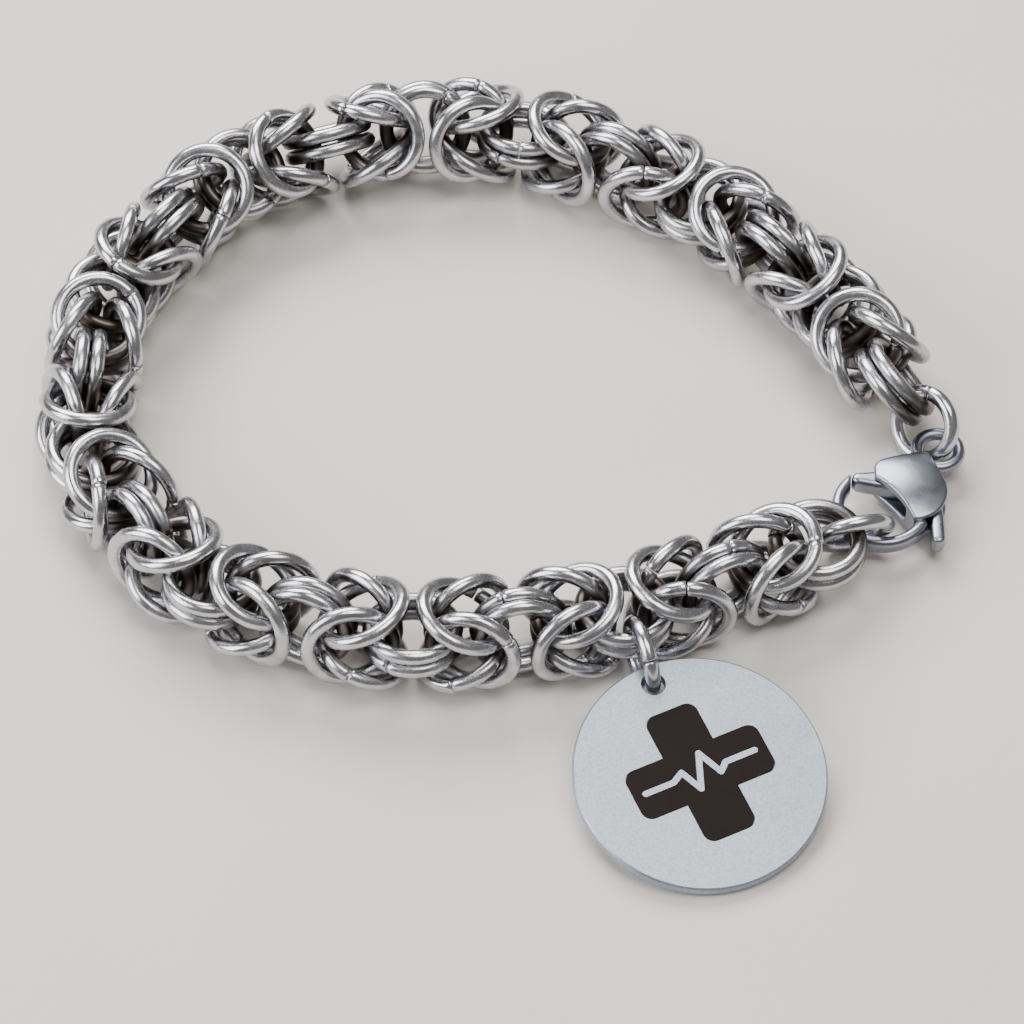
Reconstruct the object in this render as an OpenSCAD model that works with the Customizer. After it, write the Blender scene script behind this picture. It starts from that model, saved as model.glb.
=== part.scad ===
// Medical alert bracelet, lying on a table with +Z up.
// A chain in the Byzantine weave runs round from the clasp's hook to the clasp's eye,
// and a round disc with an inlaid sign hangs from it on a jump ring.
// Sizes are in millimetres and angles in degrees.

/* [Chain] */
// Thickness of the wire of a chain ring
ring_wire = 1.15; // [0.9:0.05:1.3]
// Clear width inside a chain ring
ring_bore = 5.6; // [5.2:0.1:6.6]
// Number of knots, each between two connecting pairs of rings
knots = 20; // [18:2:22]

/* [Jump rings] */
// Thickness of the wire of the three jump rings
jump_wire = 1.15; // [0.9:0.05:1.3]
// Clear width inside the jump ring in the clasp's eye
eye_ring_bore = 4.3; // [3.8:0.1:5.2]
// Clear width inside the jump ring in the clasp's hook
hook_ring_bore = 4.7; // [4.2:0.1:5.6]
// Clear width inside the jump ring that carries the disc
disc_ring_bore = 4.4; // [4.2:0.1:5.2]

/* [Clasp] */
// Length from the middle of the eye to the middle of the hook
clasp_length = 7.8; // [7.4:0.1:9]
// Clear width inside the eye
eye_bore = 2.5; // [2.4:0.1:3.2]
// Thickness of the metal round the eye
eye_wire = 1; // [0.8:0.1:1.2]
// Clear width inside the hook
hook_bore = 6.2; // [6:0.1:7]
// Width of the hook's bar, seen from above
hook_bar = 1; // [0.8:0.1:1.3]
// Height of the hook's bar
hook_height = 1.5; // [1.2:0.1:1.7]
// Height of the shell at the top of its dome
shell_height = 3.5; // [3.2:0.1:4.2]
// Radius of the sphere that the shell's two faces are part of
dome_radius = 12; // [10:0.5:20]
// Height of the slot between the shell's two plates
slot_height = 1.8; // [1.6:0.1:2]
// Diameter of the rivet that the lever turns on
rivet_d = 1.1; // [0.8:0.1:1.4]
// Metal of the lever round the rivet
boss_wall = 0.6; // [0.5:0.05:0.7]
// Width of the lever's nose at its rounded tip
nose_width = 1; // [0.8:0.1:1.3]
// Width of the lever's thumb tab
tab_width = 1; // [0.8:0.05:1.2]

/* [Disc] */
// Diameter of the disc
disc_d = 20; // [16:0.5:26]
// Thickness of the disc
disc_thick = 1; // [0.8:0.1:1.3]
// Bevel round the disc's two edges
disc_bevel = 0.15; // [0.05:0.05:0.3]
// Diameter of the hole in the disc
hole_d = 2; // [1.9:0.1:2.4]
// Metal left between the hole and the disc's edge
hole_wall = 0.7; // [0.6:0.1:1.2]
// Width of the inlaid cross from tip to tip
cross_span = 11.6; // [9:0.2:12]
// Width of one arm of the cross
arm_width = 4.4; // [4:0.1:5]
// Radius of the cross's corners
arm_corner = 0.9; // [0.4:0.1:1.4]
// Depth of the inlay in the disc
inlay_depth = 0.3; // [0.2:0.05:0.4]
// Width of the raised pulse line that crosses the inlay
pulse_width = 0.5; // [0.4:0.05:0.7]

/* [Clearances] */
// Space between the disc's jump ring and the two rings that carry it
pull_space = 0.25; // [0.2:0.01:0.3]
// Space round the rivet in the lever
rivet_space = 0.04; // [0.02:0.01:0.08]
// Space above and below the lever in the shell's slot
lever_space = 0.15; // [0.1:0.05:0.2]
// Space round the lever's boss in the shell's slot
boss_space = 0.25; // [0.15:0.05:0.4]
// Space between the lever's nose and the hook's tip
tip_space = 0.15; // [0.1:0.05:0.3]
// Space round the inlay
inlay_space = 0.05; // [0.03:0.01:0.08]

/* [Hidden] */
$fn = 64;
wire_sides = 24;
dome_sides = 200;
steel = [0.74, 0.75, 0.78];
bright_steel = [0.8, 0.81, 0.84];
satin_steel = [0.77, 0.79, 0.82];
dark_enamel = [0.2, 0.15, 0.15];

// The chain's route: share of its length, heading, and roll of the weave about its own axis
route = [
    [0.0, -158, 0],
    [0.1, -168, 2],
    [0.2, -185, 12],
    [0.3, -215, 11],
    [0.4, -254, 9],
    [0.5, -291, 14],
    [0.6, -323, 30],
    [0.7, -354, 57],
    [0.8, -383, 89],
    [0.9, -403, 108],
    [1.0, -418, 124]
];
route_heading = [for (row = route) [row[0], row[1]]];
route_roll = [for (row = route) [row[0], row[2]]];

// One knot of the weave, in shares of a ring's mean radius and of its wire
ring_r = (ring_bore + ring_wire) / 2;
pitch = 2.52 * ring_r;
pair_half = 0.593 * ring_wire;
near_in = 0.431 * ring_r;
near_out = 0.58 * ring_wire;
open_angle = 23;
inner_give = 0.48;
outer_give = 0.29;

// The connecting pair that carries the disc, counted from the hook
disc_pair = 2;
// Turn of the disc away from its jump ring, and how far down the jump ring the disc sits
disc_swing = 8;
disc_drop = 8;
// How far the disc's jump ring sinks below the upper ring that carries it, as a share of its room
hang = 0.7;
// Space between a jump ring and the hook that lies on it
under_space = 0.15;

eye_ring_r = (eye_ring_bore + jump_wire) / 2;
hook_ring_r = (hook_ring_bore + jump_wire) / 2;
disc_ring_r = (disc_ring_bore + jump_wire) / 2;

eye_r = (eye_bore + eye_wire) / 2;
hook_r = (hook_bore + hook_bar) / 2;

// Free play of a jump ring's wire in the end pair of the chain, in the eye and in the hook
pair_play = (ring_bore - jump_wire) / 2;
eye_play = (eye_bore - jump_wire) / 2;
hook_play = (hook_bore - jump_wire) / 2;
// Where each jump ring's wire lies in the end pair: shares of the play ahead, to the left and up
eye_ring_seat = [0.62, 0.42, -0.28];
hook_ring_seat = [-0.43, 0, 0.43];
// Where it lies in the eye or the hook: shares of the play along the clasp and to its left
eye_hold = [0.32, 0.15];
hook_hold = [0.79, 0.39];
// How far it lies below the middle of the eye or the hook, in shares of the two half thicknesses
eye_drop = 0.27;
hook_drop = 0.28;
// Its direction, turned away from that of the clasp
eye_turn = 63;
hook_turn = -22;

// The shell is drawn round three circles, placed along and across the clasp from its eye
neck_r = 0.8 * eye_wire;
neck_at = [eye_r + 0.6 * eye_wire, 0];
lobe_r = 0.26 * hook_r;
lobe_at = [clasp_length - 0.78 * hook_r, lobe_r - 0.75 * hook_r];
side_at = [clasp_length - 0.66 * hook_r, 0.33 * hook_r];
side_r = hook_r + hook_bar / 2 - side_at[1];
front_at = clasp_length - 0.36 * hook_r;
front_slant = 12;
front_curve = 3 * hook_r;
dome_at = [clasp_length - 0.8 * hook_r, 0.15 * hook_r];

// The lever turns on the rivet: its nose points to the hook's tip, its tab to the outside
rivet_at = [clasp_length - 1.08 * hook_r, 0.33 * hook_r];
nose_angle = -56.5;
nose_reach = 1.58 * hook_r;
boss_r = rivet_d / 2 + boss_wall;
lever_height = slot_height - 2 * lever_space;
// The rivet stops inside the upper plate, halfway through it
rivet_top = (slot_height + shell_height) / 4;
tab_root = [clasp_length - 0.5 * hook_r, hook_r + hook_bar / 2 + 0.1 * tab_width];
tab_tip = [clasp_length - 0.2 * tab_width, hook_r + hook_bar / 2 + 1.4 * tab_width];
// Sector of the slot round the rivet, and the post in it that carries the hook
slot_from = -116;
slot_to = 142;
post_from = 12;
post_to = 37;
post_r = 0.78 * hook_r;
hook_root = 104;
hook_end = -116;

hole_at = disc_d / 2 - hole_wall - hole_d / 2;
// The pulse line: shares of the cross's span along it, and of the arm's width across it
pulse = [[-0.41, 0], [-0.2, 0], [-0.12, 0.12], [-0.05, -0.3], [0.05, 0.34], [0.13, -0.14], [0.19, 0], [0.41, 0]];

up = [0, 0, 1];
far = 3 * clasp_length;

// Directions level with the table at heading h: ahead, and to the left of it
function ahead(h) = [cos(h), sin(h), 0];
function leftward(h) = [-sin(h), cos(h), 0];
// The same two directions, with ahead rising at slope g
function climb(h, g) = cos(g) * ahead(h) + sin(g) * up;
function lift(h, g) = cos(g) * up - sin(g) * ahead(h);
function polar(r, a) = [r * cos(a), r * sin(a)];
function between(a, b, t) = a + (b - a) * t;

// Step over a length in which the heading goes evenly from one value to another
function step(from, to, length) =
    abs(to - from) < 0.01
    ? length * ahead((from + to) / 2)
    : length * 180 / PI / (to - from) * [sin(to) - sin(from), cos(from) - cos(to), 0];
function path(heads, k = 0, at = [0, 0, 0]) =
    k == knots ? [at] : concat([at], path(heads, k + 1, at + step(heads[k], heads[k + 1], pitch)));

// Height of the chain's axis at which a knot with this roll rests on the table
function ring_reach(roll) =
    (near_out + ring_r * sin(open_angle)) * abs(sin(roll))
    + ring_r * sqrt(1 - pow(cos(open_angle) * sin(roll), 2));
function rest_height(roll) = ring_wire / 2 + max(ring_reach(roll), ring_reach(roll + 90));

rolls = [for (k = [0:knots]) lookup(k / knots, route_roll)];
function above_pairs(values) = [
    for (k = [0:knots]) max(values[max(k - 1, 0)], values[min(k, knots - 1)])
];
first_heights = above_pairs([for (k = [0:knots - 1]) rest_height((rolls[k] + rolls[k + 1]) / 2)]);

// Lowest point of a ring, given its middle and its normal
function reach_along(axis, normal, r) = r * sqrt(max(0, 1 - pow(axis * normal, 2)));
function ring_low(ring) = ring[0] * up - reach_along(up, ring[1], ring_r) - ring_wire / 2;

// Rings of the weave as [middle, normal], along a path with the given headings
function unit_slope(heights, k) = atan((heights[k + 1] - heights[k]) / pitch);
function side_axis(h, g, roll) = cos(roll) * leftward(h) + sin(roll) * lift(h, g);
function face_axis(h, g, roll) = cos(roll) * lift(h, g) - sin(roll) * leftward(h);
function connector(points, heads, heights, k, side) =
    let (g = (unit_slope(heights, min(k, knots - 1)) + unit_slope(heights, max(k - 1, 0))) / 2)
    let (normal = face_axis(heads[k], g, rolls[k] + 90 * (k % 2)))
    [points[k] + heights[k] * up + side * pair_half * normal, normal];
// A knot ring leaves pair k (way 1) or pair k + 1 (way -1) and leans with the bend of the chain
function knot_ring(points, heads, heights, k, way, side) =
    let (roll = (rolls[k] + rolls[k + 1]) / 2 + 90 * (k % 2) + (way < 0 ? 90 : 0))
    let (bend = side * cos(roll) * (heads[k + 1] - heads[k]))
    let (lean = open_angle + (bend > 0 ? inner_give : outer_give) * bend)
    let (run = near_in + ring_r * cos(lean))
    let (along = way > 0 ? run : pitch - run)
    let (h = between(heads[k], heads[k + 1], along / pitch))
    let (g = unit_slope(heights, k))
    let (axis = side_axis(h, g, roll))
    let (at = points[k] + step(heads[k], h, along) + between(heights[k], heights[k + 1], along / pitch) * up)
    [
        at + side * (near_out + ring_r * sin(lean)) * axis,
        cos(lean) * axis - way * side * sin(lean) * climb(h, g)
    ];
function knot(points, heads, heights, k) = [
    for (way = [1, -1], side = [1, -1]) knot_ring(points, heads, heights, k, way, side)
];
function weave(points, heads, heights) = [
    for (k = [0:knots], side = [1, -1]) connector(points, heads, heights, k, side),
    for (k = [0:knots - 1]) each knot(points, heads, heights, k)
];
function lowest(rings) = min([for (ring = rings) ring_low(ring)]);

// Each knot of the route is lowered or lifted until it rests on the table
plain_heads = [for (k = [0:knots]) lookup(k / knots, route_heading)];
plain_points = path(plain_heads);
function rested(heights) =
    heights + above_pairs([for (k = [0:knots - 1]) -lowest(knot(plain_points, plain_heads, heights, k))]);
rested_heights = rested(first_heights);
settle = -lowest(weave(plain_points, plain_heads, rested_heights));
heights = [for (height = rested_heights) height + settle];

// The clasp lies on the two jump rings that pass under its ends, and these climb to the chain's ends
clasp_z = max(shell_height / 2, jump_wire + under_space + hook_height / 2);
eye_tip_z = clasp_z - eye_drop * (eye_wire + jump_wire) / 2;
hook_tip_z = clasp_z - hook_drop * (hook_height + jump_wire) / 2;
eye_slope = asin((heights[knots] + eye_ring_seat[2] * pair_play - eye_tip_z) / (2 * eye_ring_r));
hook_slope = asin((heights[0] + hook_ring_seat[2] * pair_play - hook_tip_z) / (2 * hook_ring_r));

// The chain's two ends as the clasp sees them, from the middle of its eye with the hook ahead
eye_tip = eye_play * [eye_hold[0], eye_hold[1], 0];
hook_tip = [clasp_length, 0, 0] + hook_play * [hook_hold[0], hook_hold[1], 0];
eye_run = 2 * eye_ring_r * cos(eye_slope) + pair_play * eye_ring_seat[0];
hook_run = 2 * hook_ring_r * cos(hook_slope) - pair_play * hook_ring_seat[0];
end_seen = eye_tip - eye_run * ahead(eye_turn) - pair_play * eye_ring_seat[1] * leftward(eye_turn);
start_seen = hook_tip + hook_run * ahead(hook_turn) - pair_play * hook_ring_seat[1] * leftward(hook_turn);
end_gap = norm(start_seen - end_seen);
function facing(way) = atan2(way[1], way[0]);

// A small even bend is added to the route, so that its two ends lie end_gap apart
function bent(extra) = [for (k = [0:knots]) lookup(k / knots, route_heading) + extra * (k / knots - 1 / 2)];
function ends_apart(extra) = norm(path(bent(extra))[knots]);
function closing_bend(low, high, tries) =
    let (middle = (low + high) / 2)
    tries == 0 ? middle
    : ends_apart(middle) > end_gap ? closing_bend(low, middle, tries - 1)
    : closing_bend(middle, high, tries - 1);
heads = bent(closing_bend(-60, 60, 30));
loose_points = path(heads);

clasp_heading = facing(loose_points[0] - loose_points[knots]) - facing(start_seen - end_seen);
eye_heading = clasp_heading + eye_turn;
hook_heading = clasp_heading + hook_turn;

// A jump ring beside the clasp leans until it rests on the table
function lean_to_rest(height, r, slope) =
    asin(min(1, sqrt(max(0, 1 - pow((height - jump_wire / 2) / r, 2))) / cos(slope)));
function leaning(h, g, lean) = cos(lean) * leftward(h) - sin(lean) * lift(h, g);
function seat(share, h) = pair_play * (share[0] * ahead(h) + share[1] * leftward(h) + share[2] * up);
function eye_ring(end) =
    let (at = end + seat(eye_ring_seat, eye_heading) + eye_ring_r * climb(eye_heading, -eye_slope))
    [at, leaning(eye_heading, -eye_slope, lean_to_rest(at[2], eye_ring_r, eye_slope))];
function hook_ring(start) =
    let (at = start + seat(hook_ring_seat, hook_heading) - hook_ring_r * climb(hook_heading, hook_slope))
    [at, leaning(hook_heading, hook_slope, lean_to_rest(at[2], hook_ring_r, hook_slope))];

// The disc's jump ring hangs upright from the upper ring of its pair, or stands on the table
disc_way = heads[disc_pair] + 90;
room = (disc_ring_bore - ring_wire) / 2 - pull_space;
disc_ring_z = max(disc_ring_r + jump_wire / 2, heights[disc_pair] + pair_half - hang * room);
upper_gap = heights[disc_pair] + pair_half - disc_ring_z;
lower_gap = disc_ring_z - heights[disc_pair] + pair_half;
disc_ring_out = ring_r + sqrt(max(0, pow(room, 2) - pow(max(upper_gap, lower_gap), 2)));
hole_out = disc_ring_out + disc_ring_r * cos(disc_drop);
hole_z = disc_ring_z - disc_ring_r * sin(disc_drop);
// Its far edge lies on the table
disc_heading = disc_way + disc_swing;
disc_lean = asin((hole_z - disc_thick / 2) / (hole_at + disc_d / 2));
function disc_middle(points) =
    points[disc_pair] + hole_out * ahead(disc_way) + hole_z * up + hole_at * climb(disc_heading, -disc_lean);

// The part is moved so that its footprint is centred on the origin
function span_of(axis, ring, r, wire) =
    let (half = reach_along(axis, ring[1], r) + wire / 2)
    [ring[0] * axis - half, ring[0] * axis + half];
function footprint(axis, points) =
    let (disc_face = lift(disc_heading, -disc_lean))
    concat(
        [for (ring = weave(points, heads, heights)) each span_of(axis, ring, ring_r, ring_wire)],
        span_of(axis, eye_ring(points[knots]), eye_ring_r, jump_wire),
        span_of(axis, [disc_middle(points), disc_face], disc_d / 2 - disc_bevel, abs(disc_face * axis) * disc_thick)
    );
function middle_of(values) = (min(values) + max(values)) / 2;
centre_x = middle_of(footprint([1, 0, 0], loose_points));
centre_y = middle_of(footprint([0, 1, 0], loose_points));
points = [for (at = loose_points) at - [centre_x, centre_y, 0]];
chain_start = points[0] + heights[0] * up;
chain_end = points[knots] + heights[knots] * up;

module wire_ring(ring, r, wire) {
    normal = ring[1];
    translate(ring[0])
        rotate([0, acos(normal[2]), atan2(normal[1], normal[0])])
            rotate_extrude()
                translate([r, 0])
                    circle(d = wire, $fn = wire_sides);
}

module byzantine_chain() {
    color(steel)
        for (ring = weave(points, heads, heights)) wire_ring(ring, ring_r, ring_wire);
}

module eye_jump_ring() {
    color(bright_steel)
        wire_ring(eye_ring(chain_end), eye_ring_r, jump_wire);
}

module hook_jump_ring() {
    color(bright_steel)
        wire_ring(hook_ring(chain_start), hook_ring_r, jump_wire);
}

module disc_jump_ring() {
    at = points[disc_pair] + disc_ring_out * ahead(disc_way) + disc_ring_z * up;
    color(bright_steel)
        wire_ring([at, leftward(disc_way)], disc_ring_r, jump_wire);
}

// Puts the disc's pieces where it lies; they are drawn flat, with the hole towards +Y
module on_disc() {
    translate(disc_middle(points))
        rotate([0, 0, disc_heading + 90])
            rotate([disc_lean, 0, 0])
                children();
}

module disc_blank() {
    rotate_extrude()
        polygon([
            [0, -disc_thick / 2], [disc_d / 2 - disc_bevel, -disc_thick / 2],
            [disc_d / 2, disc_bevel - disc_thick / 2], [disc_d / 2, disc_thick / 2 - disc_bevel],
            [disc_d / 2 - disc_bevel, disc_thick / 2], [0, disc_thick / 2]
        ]);
}

module rounded_bar(length, width, corner) {
    square([length - 2 * corner, width], center = true);
    square([length, width - 2 * corner], center = true);
    for (x = [-1, 1], y = [-1, 1])
        translate([x * (length / 2 - corner), y * (width / 2 - corner)]) circle(corner);
}

module pulse_line(width) {
    for (i = [0:len(pulse) - 2]) {
        from = [pulse[i][0] * cross_span, pulse[i][1] * arm_width];
        to = [pulse[i + 1][0] * cross_span, pulse[i + 1][1] * arm_width];
        translate(from)
            rotate(atan2(to[1] - from[1], to[0] - from[0]))
                translate([0, -width / 2]) square([norm(to - from), width]);
        translate(from) circle(d = width);
        translate(to) circle(d = width);
    }
}

// The inlay's outline, with the cross and the pulse line drawn in by a margin
module cross_outline(margin) {
    difference() {
        union() {
            rounded_bar(cross_span - 2 * margin, arm_width - 2 * margin, arm_corner);
            rotate(90) rounded_bar(cross_span - 2 * margin, arm_width - 2 * margin, arm_corner);
        }
        pulse_line(pulse_width + 2 * margin);
    }
}

module pendant_disc() {
    color(satin_steel)
        on_disc()
            difference() {
                disc_blank();
                translate([0, hole_at, -disc_thick]) cylinder(h = 2 * disc_thick, d = hole_d);
                translate([0, 0, disc_thick / 2 - inlay_depth])
                    linear_extrude(disc_thick) cross_outline(0);
            }
}

module disc_emblem() {
    color(dark_enamel)
        on_disc()
            translate([0, 0, disc_thick / 2 - inlay_depth])
                linear_extrude(inlay_depth) cross_outline(inlay_space);
}

// Puts the clasp's pieces where it lies; they are drawn from the eye's middle, hook towards +X
module on_clasp() {
    translate([points[knots][0], points[knots][1], clasp_z])
        rotate([0, 0, clasp_heading])
            translate(-end_seen)
                children();
}

// The points at which a straight line touches two circles on the right of the way between them
function right_side(from, from_r, to, to_r) =
    let (a = atan2(to[1] - from[1], to[0] - from[0]) - acos((from_r - to_r) / norm(to - from)))
    [from + polar(from_r, a), to + polar(to_r, a)];
module straight_sides(from, from_r, to, to_r) {
    polygon(concat(right_side(from, from_r, to, to_r), right_side(to, to_r, from, from_r)));
}

// A sector round the rivet
module rivet_sector(from, to, inner) {
    middle = (from + to) / 2;
    translate(rivet_at)
        polygon([
            polar(inner, from), polar(far, from), polar(far, (from + middle) / 2), polar(far, middle),
            polar(far, (middle + to) / 2), polar(far, to), polar(inner, to)
        ]);
}

// An upright prism cut by the two spheres that the shell's upper and lower faces are part of
module domed() {
    intersection() {
        translate([0, 0, -shell_height]) linear_extrude(2 * shell_height) children();
        translate([dome_at[0], dome_at[1], shell_height / 2 - dome_radius])
            rotate([90, 0, 0]) sphere(dome_radius, $fn = dome_sides);
        translate([dome_at[0], dome_at[1], dome_radius - shell_height / 2])
            rotate([90, 0, 0]) sphere(dome_radius, $fn = dome_sides);
    }
}

module shell() {
    difference() {
        union() {
            domed() translate(neck_at) circle(neck_r);
            domed() translate(lobe_at) circle(lobe_r);
            domed() translate(side_at) circle(side_r);
            domed() polygon(concat(
                right_side(neck_at, neck_r, lobe_at, lobe_r),
                right_side(lobe_at, lobe_r, side_at, side_r),
                right_side(side_at, side_r, neck_at, neck_r)
            ));
        }
        translate([front_at, 0, -shell_height])
            rotate([0, 0, -front_slant])
                translate([front_curve, 0, 0]) cylinder(h = 2 * shell_height, r = front_curve, $fn = dome_sides);
        translate([0, 0, -slot_height / 2]) linear_extrude(slot_height) shell_slot();
        translate([rivet_at[0], rivet_at[1], -shell_height]) cylinder(h = shell_height + rivet_top, d = rivet_d);
    }
}

module shell_slot() {
    difference() {
        union() {
            translate(rivet_at) circle(boss_r + boss_space);
            rivet_sector(slot_from, slot_to, 0);
        }
        rivet_sector(post_from, post_to, post_r);
    }
}

module hook_section() {
    square([hook_bar, hook_height - hook_bar], center = true);
    for (side = [-1, 1])
        translate([0, side * (hook_height - hook_bar) / 2]) circle(d = hook_bar, $fn = wire_sides);
}

// The hook's arc, ended at its tip by the circle that the lever's nose swings along
module hook() {
    difference() {
        translate([clasp_length, 0, 0])
            rotate([0, 0, hook_end])
                rotate_extrude(angle = hook_root - hook_end)
                    translate([hook_r, 0]) hook_section();
        difference() {
            translate([rivet_at[0], rivet_at[1], -hook_height])
                cylinder(h = 2 * hook_height, r = nose_reach + tip_space);
            translate([-far, 0, -far]) cube(2 * far);
        }
    }
}

module clasp_body() {
    color(bright_steel)
        on_clasp() {
            shell();
            hook();
            rotate_extrude() translate([eye_r, 0]) circle(d = eye_wire, $fn = wire_sides);
        }
}

module lever_outline() {
    nose_tip = rivet_at + polar(nose_reach - nose_width / 2, nose_angle);
    straight_sides(rivet_at, boss_r, nose_tip, nose_width / 2);
    translate(nose_tip) circle(nose_width / 2);
    translate(rivet_at) circle(boss_r);
    straight_sides(rivet_at, boss_r, tab_root, tab_width / 2);
    translate(tab_root) circle(tab_width / 2);
    straight_sides(tab_root, tab_width / 2, tab_tip, tab_width / 2);
    translate(tab_tip) circle(tab_width / 2);
}

module clasp_lever() {
    color(bright_steel)
        on_clasp()
            translate([0, 0, -lever_height / 2])
                difference() {
                    linear_extrude(lever_height) lever_outline();
                    translate([rivet_at[0], rivet_at[1], -lever_height])
                        cylinder(h = 3 * lever_height, r = rivet_d / 2 + rivet_space);
                }
}

module clasp_rivet() {
    color(bright_steel)
        on_clasp()
            intersection() {
                domed() translate(rivet_at) circle(d = rivet_d);
                translate([-far, -far, rivet_top - 2 * far]) cube(2 * far);
            }
}

byzantine_chain();
eye_jump_ring();
hook_jump_ring();
disc_jump_ring();
pendant_disc();
disc_emblem();
clasp_body();
clasp_lever();
clasp_rivet();
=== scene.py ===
import math
import bpy
import numpy as np
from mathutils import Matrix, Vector


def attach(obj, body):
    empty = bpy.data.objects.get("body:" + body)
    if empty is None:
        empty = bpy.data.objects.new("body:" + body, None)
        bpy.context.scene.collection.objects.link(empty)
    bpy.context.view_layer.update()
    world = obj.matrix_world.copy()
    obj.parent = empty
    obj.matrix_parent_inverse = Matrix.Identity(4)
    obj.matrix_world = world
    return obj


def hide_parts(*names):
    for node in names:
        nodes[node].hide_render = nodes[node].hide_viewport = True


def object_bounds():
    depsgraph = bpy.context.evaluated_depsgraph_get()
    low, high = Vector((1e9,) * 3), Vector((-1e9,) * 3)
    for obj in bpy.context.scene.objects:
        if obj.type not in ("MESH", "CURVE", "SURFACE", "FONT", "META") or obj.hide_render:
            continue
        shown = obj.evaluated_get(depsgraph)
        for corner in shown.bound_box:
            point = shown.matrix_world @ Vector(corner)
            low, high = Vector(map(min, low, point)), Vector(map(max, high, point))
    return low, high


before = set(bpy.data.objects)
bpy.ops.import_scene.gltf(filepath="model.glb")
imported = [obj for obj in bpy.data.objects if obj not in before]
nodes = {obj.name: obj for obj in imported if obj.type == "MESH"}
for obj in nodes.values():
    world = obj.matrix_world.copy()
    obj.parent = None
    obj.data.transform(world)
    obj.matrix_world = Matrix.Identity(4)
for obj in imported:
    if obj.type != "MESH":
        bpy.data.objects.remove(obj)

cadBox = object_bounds()
mm = 0.001
print("frame loaded")


# Small helpers

def linearColour(hexCode):
    # sRGB hex to the linear values that a shader socket takes
    parts = np.array([int(hexCode[i:i + 2], 16) / 255 for i in (1, 3, 5)])
    low, high = parts / 12.92, ((parts + 0.055) / 1.055) ** 2.4
    return (*np.where(parts <= 0.04045, low, high), 1.0)


def setInputs(tree, node, **inputs):
    # an input goes by its name, or by i and its number, and is a value or a socket to link from
    for key, value in inputs.items():
        numbered = key[0] == "i" and key[1:].isdigit()
        socket = node.inputs[int(key[1:]) if numbered else key.replace("_", " ")]
        if isinstance(value, bpy.types.NodeSocket):
            tree.links.new(value, socket)
        else:
            socket.default_value = value


def addNode(tree, kind, settings=None, stops=(), out=0, **inputs):
    # a node with its settings and inputs, and a colour ramp's two stops as (place, hex); gives back the
    # output that the next node links from
    node = tree.nodes.new(kind)
    for key, value in (settings or {}).items():
        setattr(node, key, value)
    if stops:
        for stop, (place, hexCode) in zip(node.color_ramp.elements, stops):
            stop.position, stop.color = place, linearColour(hexCode)
    setInputs(tree, node, **inputs)
    return node.outputs[out]


def newMaterial(name):
    # an empty material, with the place on the object that its patterns read
    material = bpy.data.materials.new(name)
    material.use_nodes = True
    tree = material.node_tree
    shader = tree.nodes["Principled BSDF"]
    place = addNode(tree, "ShaderNodeTexCoord", out="Object")
    return material, tree, shader, place


# Materials: a noise's scale is one over the size of its blobs, and a bump's distance is how deep it goes

noiseSpan = {"i1": 0.3, "i2": 0.7}  # most of a noise's values lie between these two


def drawnSteelWire(name, lightHex, darkHex, paintedShadeHex, roughLow, roughHigh):
    # stainless steel wire, drawn, wound and tumbled: bright, with soft smears and tiny knocks; inside the
    # weave the colour turns a dark, slightly brown grey, painted shade where the rings hide each other, and
    # it is a little rougher there
    material, tree, shader, place = newMaterial(name)
    paintedLitShare = addNode(tree, "ShaderNodeAttribute", {"attribute_name": "paintedLitShare"}, out="Fac")
    smear = addNode(tree, "ShaderNodeTexNoise", Vector=place, Scale=1 / (1.6 * mm), Detail=4, Roughness=0.6,
                    Distortion=0.6)
    knock = addNode(tree, "ShaderNodeTexNoise", Vector=place, Scale=1 / (0.5 * mm), Detail=2, Roughness=0.5)
    # the marks of tumbling are finer than 0.09 mm, and are drawn this coarse so that they show
    grain = addNode(tree, "ShaderNodeTexNoise", Vector=place, Scale=1 / (0.09 * mm), Detail=2,
                    Roughness=0.6)
    bright = addNode(tree, "ShaderNodeValToRGB", stops=[(0.3, darkHex), (0.62, lightHex)], i0=smear)
    # painted shade: where the mask falls towards 0 inside the weave, the colour goes to the dark brown grey
    skin = addNode(tree, "ShaderNodeMix", {"data_type": "RGBA"}, out=2, i0=paintedLitShare,
                   i6=linearColour(paintedShadeHex), i7=bright)
    smearRough = addNode(tree, "ShaderNodeMapRange", i0=smear, i3=roughLow, i4=roughHigh, **noiseSpan)
    grainRough = addNode(tree, "ShaderNodeMapRange", i0=grain, i3=-0.03, i4=0.05, **noiseSpan)
    insideRough = addNode(tree, "ShaderNodeMapRange", i0=paintedLitShare, i1=0.0, i2=1.0, i3=0.12, i4=0.0)
    outsideRough = addNode(tree, "ShaderNodeMath", {"operation": "ADD"}, i0=smearRough, i1=grainRough)
    rough = addNode(tree, "ShaderNodeMath", {"operation": "ADD"}, i0=outsideRough, i1=insideRough)
    dents = addNode(tree, "ShaderNodeBump", Height=knock, Strength=1.0, Distance=0.012 * mm)
    relief = addNode(tree, "ShaderNodeBump", Height=grain, Strength=1.0, Distance=0.0016 * mm,
                     Normal=dents)
    setInputs(tree, shader, Base_Color=skin, Metallic=1.0, Roughness=rough, Normal=relief)
    return material


def castSteel(name):
    # lost-wax cast stainless steel, tumbled smooth: a little darker, with a faint orange peel
    material, tree, shader, place = newMaterial(name)
    peel = addNode(tree, "ShaderNodeTexNoise", Vector=place, Scale=1 / (0.9 * mm), Detail=2, Roughness=0.45)
    cloud = addNode(tree, "ShaderNodeTexNoise", Vector=place, Scale=1 / (2.4 * mm), Detail=4, Roughness=0.6,
                    Distortion=0.5)
    grey = addNode(tree, "ShaderNodeValToRGB", stops=[(0.3, "#898A96"), (0.65, "#9697A2")], i0=cloud)
    rough = addNode(tree, "ShaderNodeMapRange", i0=cloud, i3=0.26, i4=0.34, **noiseSpan)
    relief = addNode(tree, "ShaderNodeBump", Height=peel, Strength=1.0, Distance=0.005 * mm)
    setInputs(tree, shader, Base_Color=grey, Metallic=1.0, Roughness=rough, Normal=relief)
    return material


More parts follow.
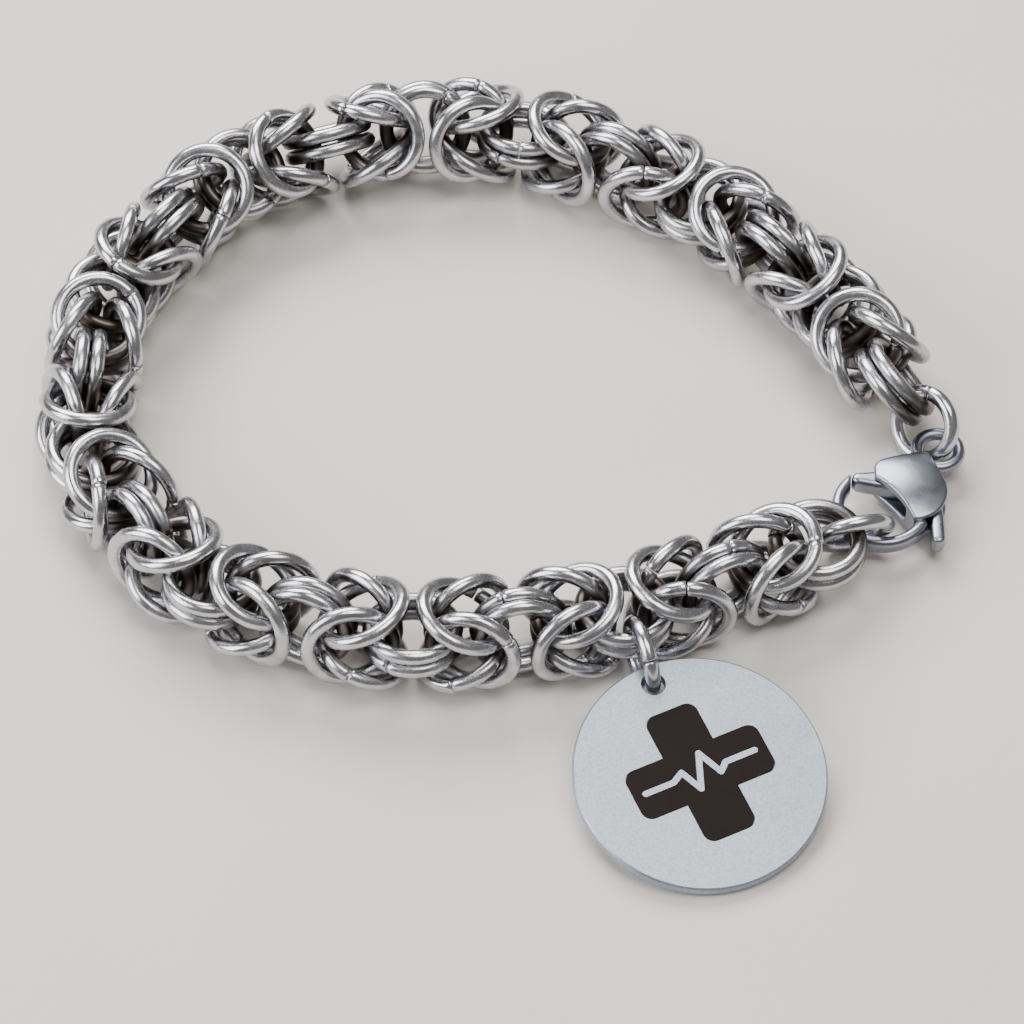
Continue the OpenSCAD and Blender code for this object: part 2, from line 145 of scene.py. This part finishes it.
def satinSteel(name):
    # stamped steel sheet with a blasted satin face: even light grey, hardly any reflection, a fine grain
    material, tree, shader, place = newMaterial(name)
    cloud = addNode(tree, "ShaderNodeTexNoise", Vector=place, Scale=1 / (3.5 * mm), Detail=4, Roughness=0.6)
    # grit is finer than 0.2 mm, and is drawn this coarse so that it shows
    grain = addNode(tree, "ShaderNodeTexNoise", Vector=place, Scale=1 / (0.2 * mm), Detail=3,
                    Roughness=0.75)
    haze = addNode(tree, "ShaderNodeMapRange", i0=cloud, i3=0.0, i4=0.1, **noiseSpan)
    blend = addNode(tree, "ShaderNodeMath", {"operation": "MULTIPLY_ADD"}, i0=grain, i1=0.85, i2=haze)
    grey = addNode(tree, "ShaderNodeValToRGB", stops=[(0.3, "#959CA6"), (0.65, "#B8BFCA")], i0=blend)
    rough = addNode(tree, "ShaderNodeMapRange", i0=cloud, i3=0.42, i4=0.52, **noiseSpan)
    relief = addNode(tree, "ShaderNodeBump", Height=grain, Strength=1.0, Distance=0.006 * mm)
    setInputs(tree, shader, Base_Color=grey, Metallic=1.0, Roughness=rough, Normal=relief)
    return material


def resinEnamel(name):
    # dark resin enamel run into the pocket and cured: nearly black brown, a dull skin with fine specks
    material, tree, shader, place = newMaterial(name)
    # the specks are finer than 0.12 mm, and are drawn this coarse so that they show
    speck = addNode(tree, "ShaderNodeTexNoise", Vector=place, Scale=1 / (0.12 * mm), Detail=3,
                    Roughness=0.7)
    cloud = addNode(tree, "ShaderNodeTexNoise", Vector=place, Scale=1 / (1.8 * mm), Detail=3, Roughness=0.5)
    haze = addNode(tree, "ShaderNodeMapRange", i0=cloud, i3=0.0, i4=0.3, **noiseSpan)
    blend = addNode(tree, "ShaderNodeMath", {"operation": "MULTIPLY_ADD"}, i0=speck, i1=0.7, i2=haze)
    brown = addNode(tree, "ShaderNodeValToRGB", stops=[(0.25, "#0E0706"), (0.8, "#1C110F")], i0=blend)
    rough = addNode(tree, "ShaderNodeMapRange", i0=cloud, i3=0.55, i4=0.7, **noiseSpan)
    relief = addNode(tree, "ShaderNodeBump", Height=speck, Strength=1.0, Distance=0.004 * mm)
    setInputs(tree, shader, Base_Color=brown, IOR=1.5, Specular_IOR_Level=0.15, Roughness=rough,
              Normal=relief)
    return material


def paleTable(name):
    # matt painted board: pale and even, with a very faint cloud
    material, tree, shader, place = newMaterial(name)
    cloud = addNode(tree, "ShaderNodeTexNoise", Vector=place, Scale=1 / (40 * mm), Detail=2, Roughness=0.5)
    paint = addNode(tree, "ShaderNodeValToRGB", stops=[(0.3, "#D6D2CC"), (0.7, "#DAD7D1")], i0=cloud)
    setInputs(tree, shader, Base_Color=paint, Roughness=0.8, Specular_IOR_Level=0.3)
    return material


# each wire's bright and dull colour, its painted shade colour inside the weave, and its least and greatest
# roughness
chainSteel = drawnSteelWire("drawnStainlessWire", "#CCCCD1", "#B2B0B2", "#534F4C", 0.17, 0.29)
jumpSteel = drawnSteelWire("drawnJumpRingWire", "#CCCCD2", "#B4B3B6", "#534F4C", 0.15, 0.26)
claspSteel = castSteel("castStainless")
discSteel = satinSteel("satinStainlessSheet")
inlayResin = resinEnamel("darkResinEnamel")
tablePaint = paleTable("mattPaintedBoard")
print("materials made")


# Meshes

def meshPiece(name, points, faces, material, slotName, body, *replaced):
    # points in metres, faces as lists of point numbers
    mesh = bpy.data.meshes.new(name)
    mesh.from_pydata(points.tolist(), [], faces)
    mesh.materials.append(material)
    mesh.update()
    mesh.polygons.foreach_set("use_smooth", np.ones(len(mesh.polygons), bool))
    piece = bpy.data.objects.new(name, mesh)
    bpy.context.scene.collection.objects.link(piece)
    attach(piece, body)
    if replaced:
        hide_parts(*replaced)
    return piece


def looseRings(node):
    # middle and axis of each loose ring in a CAD node: points within a step of each other count as one,
    # those that share triangles get one label, the axis is the direction in which a ring's points spread
    # least, and the middle is halfway between its extremes
    step, stepsPerMm = 1e-4, 1e4  # the step is in mm
    mesh = nodes[node].data
    mesh.calc_loop_triangles()
    points = np.empty(len(mesh.vertices) * 3)
    mesh.vertices.foreach_get("co", points)
    points = points.reshape(-1, 3)
    corners = np.empty(len(mesh.loop_triangles) * 3, int)
    mesh.loop_triangles.foreach_get("vertices", corners)
    merged, same = np.unique(np.round(points / mm * stepsPerMm).astype(np.int64), axis=0,
                             return_inverse=True)
    triangles = same.reshape(-1)[corners].reshape(-1, 3)
    label = np.arange(len(merged))
    while True:
        before = label.copy()
        np.minimum.at(label, triangles.ravel(), np.repeat(label[triangles].min(1), 3))
        label = label[label]
        if (label == before).all():
            break
    merged = merged * step * mm
    rings = []
    for number in np.unique(label):
        own = merged[label == number]
        axes = np.linalg.svd(own - own.mean(0), full_matrices=False)[2]
        spans = own @ axes.T
        rings.append(((spans.min(0) + spans.max(0)) / 2 @ axes, axes[2]))
    return np.array([r[0] for r in rings]), np.array([r[1] for r in rings])


def ringPoints(middles, axes, cuts, size, tilts, ovals):
    # a wound ring as a tube bent into a circle: at angle t along it the wire's middle lies at the ring's
    # radius, which swells and shrinks twice a turn by the oval share, and at angle s round the wire the
    # surface lies half a wire from that; the circle stops short of the saw cut on both sides, the two ends
    # step apart along the ring's axis, and their rims are drawn in a little
    along, around = size["along"], size["around"]
    steepest = 0.9  # an axis nearer to upright than this takes another helper
    stepReach = 0.5  # how far along the wire its end's step fades out, in radians
    helper = np.where(np.abs(axes[:, 2:]) < steepest, [[0, 0, 1.0]], [[1.0, 0, 0]])
    first = np.cross(axes, helper)
    first /= np.linalg.norm(first, axis=1)[:, None]
    second = np.cross(axes, first)
    half = size["cut"] / 2 / size["radius"]
    rim = size["rim"] / size["radius"]
    turn = 2 * math.pi
    t = np.concatenate([[half], np.linspace(half + rim, turn - half - rim, along - 2), [turn - half]])
    s = np.linspace(0, turn, around, endpoint=False)
    wire = np.full(along, size["wire"] / 2)
    wire[[0, -1]] -= size["rim"]
    away = np.minimum(t, turn - t)
    step = np.sign(math.pi - t) * np.exp(-(away / stepReach) ** 2)
    turned = t[None, :] + cuts[:, None]
    ray = np.cos(turned)[..., None] * first[:, None] + np.sin(turned)[..., None] * second[:, None]
    radius = size["radius"] * (1 + ovals[:, None] * np.cos(2 * t)[None, :])
    centre = middles[:, None] + radius[..., None] * ray + (tilts[:, None] * step)[..., None] * axes[:, None]
    tube = (np.cos(s)[None, None, :, None] * ray[:, :, None]
            + np.sin(s)[None, None, :, None] * axes[:, None, None])
    return centre[:, :, None] + wire[None, :, None, None] * tube


def paintedLitShareOf(points, middles, reach):
    # 0 near the weave's own axis, where the wire takes full painted shade, to 1 on its outside, where it
    # takes none: the axis near a ring runs through the mean of the nearest ring middles, in the direction
    # in which they spread most
    nearest = 12
    gaps = np.linalg.norm(middles[:, None] - middles[None], axis=2)
    near = middles[np.argsort(gaps, axis=1)[:, :nearest]]
    centre = near.mean(1)
    ahead = np.linalg.svd(near - centre[:, None], full_matrices=False)[2][:, 0]
    away = points - centre[:, None, None]
    along = (away * ahead[:, None, None]).sum(-1, keepdims=True)
    radial = np.linalg.norm(away - along * ahead[:, None, None], axis=-1)
    share = np.clip((radial - reach[0]) / (reach[1] - reach[0]), 0, 1)
    return share * share * (3 - 2 * share)


def ringPiece(name, middles, axes, size, material, slotName, seed, *replaced):
    # one piece of loose rings, each cut, bent and stepped a little differently
    rng = np.random.default_rng(seed)
    count = len(middles)
    cuts = rng.uniform(0, 2 * math.pi, count)
    tilts = rng.uniform(-1, 1, count) * size["step"]
    ovals = rng.uniform(-1, 1, count) * size["oval"]
    points = ringPoints(middles, axes, cuts, size, tilts, ovals)
    along, around = size["along"], size["around"]
    index = np.arange(count * along * around).reshape(count, along, around)
    near, far = index[:, :-1], index[:, 1:]
    walls = np.stack([near, far, np.roll(far, -1, 2), np.roll(near, -1, 2)], -1).reshape(-1, 4)
    ends = np.concatenate([index[:, 0], index[:, -1, ::-1]])
    piece = meshPiece(name, points.reshape(-1, 3), walls.tolist() + ends.tolist(), material, slotName,
                      "bracelet", *replaced)
    # the chain's wires take painted shade inside the weave; the lone jump rings take none
    paintedLitShare = paintedLitShareOf(points, middles, size["reach"]) if "reach" in size else np.ones(points.shape[:3])
    piece.data.attributes.new("paintedLitShare", "FLOAT", "POINT").data.foreach_set("value", paintedLitShare.ravel())
    return piece


# Chain: rings of the Byzantine weave, each at its CAD ring's place. The solids are kept a small gap apart,
# and here the wire fills that gap, so the rings lie against each other as real ones do

weave = {"radius": 3.375 * mm, "wire": 1.255 * mm, "cut": 0.1 * mm, "rim": 0.07 * mm, "step": 0.055 * mm,
         "oval": 0.002, "along": 74, "around": 10, "reach": (1.6 * mm, 3.9 * mm)}
middles, axes = looseRings("byzantine_chain")
print("chain rings found:", len(middles))
ringPiece("chainRings", middles, axes, weave, chainSteel, "chain_steel", 11, "byzantine_chain")
print("chain made")


# Jump rings, with more faces round the wire, because each is seen alone

jump = {"wire": 1.255 * mm, "cut": 0.07 * mm, "rim": 0.08 * mm, "step": 0.02 * mm, "oval": 0.0,
        "along": 160, "around": 28}
jumpRings = {"eye_jump_ring": ("claspEyeRing", 2.725, 5), "hook_jump_ring": ("claspHookRing", 2.925, 6),
             "disc_jump_ring": ("discRing", 2.775, 9)}  # piece, mean radius in mm, seed
for node, (name, radius, seed) in jumpRings.items():
    middle, axis = looseRings(node)
    ringPiece(name, middle, axis, {**jump, "radius": radius * mm}, jumpSteel, "jump_ring_steel", seed, node)
print("jump rings made")


# Clasp: the cast body and its lever, with the soft edges that tumbling leaves

# for each piece, how many times it is worn, and how far its skin is then let out to keep its thickness
clasp = {"grid": 0.085 * mm, "weld": 0.001 * mm, "wear": 0.5,
         "claspShell": (24, 0.03 * mm), "claspLever": (48, 0.08 * mm)}


def tumbledCopy(name, node, material, body):
    # the CAD solid's copy on a fine even grid, whose edges are then worn round
    mesh = nodes[node].data.copy()
    mesh.name = name
    piece = bpy.data.objects.new(name, mesh)
    bpy.context.scene.collection.objects.link(piece)
    weld = piece.modifiers.new("weld", "WELD")
    weld.merge_threshold = clasp["weld"]
    grid = piece.modifiers.new("grid", "REMESH")
    grid.mode, grid.voxel_size, grid.use_smooth_shade = "VOXEL", clasp["grid"], True
    wear = piece.modifiers.new("wear", "SMOOTH")
    wear.factor, wear.iterations = clasp["wear"], clasp[name][0]
    fill = piece.modifiers.new("fill", "DISPLACE")
    fill.mid_level, fill.strength = 0.0, clasp[name][1]
    finished = bpy.data.meshes.new_from_object(piece.evaluated_get(bpy.context.evaluated_depsgraph_get()))
    piece.modifiers.clear()
    piece.data = finished
    finished.name = name
    finished.materials.clear()
    finished.materials.append(material)
    finished.polygons.foreach_set("use_smooth", np.ones(len(finished.polygons), bool))
    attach(piece, body)
    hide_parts(node)
    print(name, "faces:", len(finished.polygons))
    return piece


tumbledCopy("claspShell", "clasp_body", claspSteel, "bracelet")
tumbledCopy("claspLever", "clasp_lever", claspSteel, "lever")


# CAD nodes that stay, with their finishes

finishes = {"clasp_rivet": claspSteel, "pendant_disc": discSteel, "disc_emblem": inlayResin}
for node, material in finishes.items():
    nodes[node].data.materials.clear()
    nodes[node].data.materials.append(material)
print("clasp and disc finished")


# Table, light and camera

# the drop is how far the drawn wire reaches below the solids
table = {"half": 3.0, "drop": 0.06 * mm}


def tableTop():
    # a square just under the bracelet
    mesh = bpy.data.meshes.new("tableTop")
    half, low = table["half"], cadBox[0][2] - table["drop"]
    corners = [(-half, -half, low), (half, -half, low), (half, half, low), (-half, half, low)]
    mesh.from_pydata(corners, [], [(0, 1, 2, 3)])
    mesh.materials.append(tablePaint)
    top = bpy.data.objects.new("tableTop", mesh)
    bpy.context.scene.collection.objects.link(top)


def softBox(name, place, target, width, height, power, hexCode):
    # an even rectangle of light that faces its target; sizes in metres, power in watts
    light = bpy.data.lights.new(name, "AREA")
    light.shape, light.size, light.size_y = "RECTANGLE", width, height
    light.energy, light.color = power, linearColour(hexCode)[:3]
    lamp = bpy.data.objects.new(name, light)
    lamp.location = place
    lamp.rotation_euler = (Vector(target) - Vector(place)).to_track_quat("-Z", "Y").to_euler()
    bpy.context.scene.collection.objects.link(lamp)


tableTop()
softBoxes = {"backSoftBox": ((-0.12, 0.34, 0.36), (0, 0, 0), 0.38, 0.28, 3.9, "#FFFFFF"),
             "topSoftBox": ((0.1, -0.05, 0.5), (0, 0, 0), 0.26, 0.3, 1.7, "#FFFDF8"),
             "sideSoftBox": ((-0.4, -0.12, 0.26), (-0.02, 0, 0), 0.3, 0.34, 2.4, "#F8FAFF")}
for name, values in softBoxes.items():
    softBox(name, *values)
room = {"colour": "#C6C5C3", "strength": 0.43}
world = bpy.data.worlds.new("studio")
world.use_nodes = True
background = world.node_tree.nodes["Background"]
background.inputs["Color"].default_value = linearColour(room["colour"])
background.inputs["Strength"].default_value = room["strength"]
bpy.context.scene.world = world

# elevation in degrees, distances in metres, pixelFocus and imageWidth in pixels, sensor in mm
view = {"target": (1.3 * mm, -2.7 * mm, 0.0), "elevation": 53.0, "distance": 0.355, "pixelFocus": 4330.0,
        "imageWidth": 1024, "sensor": 36.0, "near": 0.01, "far": 20.0}
lens = bpy.data.cameras.new("photoCamera")
lens.sensor_width, lens.sensor_fit = view["sensor"], "HORIZONTAL"
lens.lens = view["sensor"] * view["pixelFocus"] / view["imageWidth"]
lens.clip_start, lens.clip_end = view["near"], view["far"]
camera = bpy.data.objects.new("photoCamera", lens)
rise = math.radians(view["elevation"])
camera.location = Vector(view["target"]) + view["distance"] * Vector((0, -math.cos(rise), math.sin(rise)))
camera.rotation_euler = (math.pi / 2 - rise, 0, 0)
bpy.context.scene.collection.objects.link(camera)
bpy.context.scene.camera = camera
print("table, light and camera set")

bpy.context.view_layer.update()
